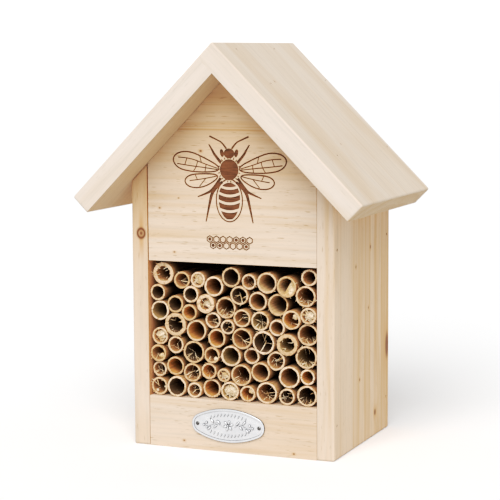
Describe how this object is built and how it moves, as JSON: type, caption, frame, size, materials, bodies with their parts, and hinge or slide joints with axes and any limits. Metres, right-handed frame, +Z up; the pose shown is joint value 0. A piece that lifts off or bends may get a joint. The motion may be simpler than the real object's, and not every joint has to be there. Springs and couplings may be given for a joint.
{
  "type": "insect hotel",
  "caption": "Small gabled wooden insect hotel: a boarded cabinet with an overhanging roof, its open front packed with hollow reeds for solitary bees.",
  "frame": {"origin": "on the ground, under the middle of the whole object, roof included", "axes": "+X to the right seen from the front, +Y from the open front to the back, +Z up"},
  "size_m": [0.174, 0.121, 0.233],
  "materials": {
    "pine": "planed, untreated",
    "roof_pine": "planed, untreated",
    "reed": "cut, untreated",
    "plate_metal": "embossed, bright",
    "steel": "zinc plated"
  },
  "bodies": {
    "root": {"side_panel_left": "pine", "side_panel_right": "pine", "gable_board": "pine", "sill_board": "pine", "floor_board": "pine", "ceiling_board": "pine", "back_panel": "pine", "roof_board_left": "roof_pine", "roof_board_right": "roof_pine", "nameplate": "plate_metal", "nameplate_pins": "steel", "hanger_plate": "steel", "hanger_screws": "steel", "ridge_nails": "steel", "roof_nails_left": "steel", "roof_nails_right": "steel", "side_nails_left": "steel", "side_nails_right": "steel", "shelf_nails": "steel", "reed_course_1": "reed", "reed_course_2": "reed", "reed_course_3": "reed", "reed_course_4": "reed", "reed_course_5": "reed", "reed_course_6": "reed", "reed_course_7": "reed", "reed_course_8": "reed"}
  },
  "joints": []
}
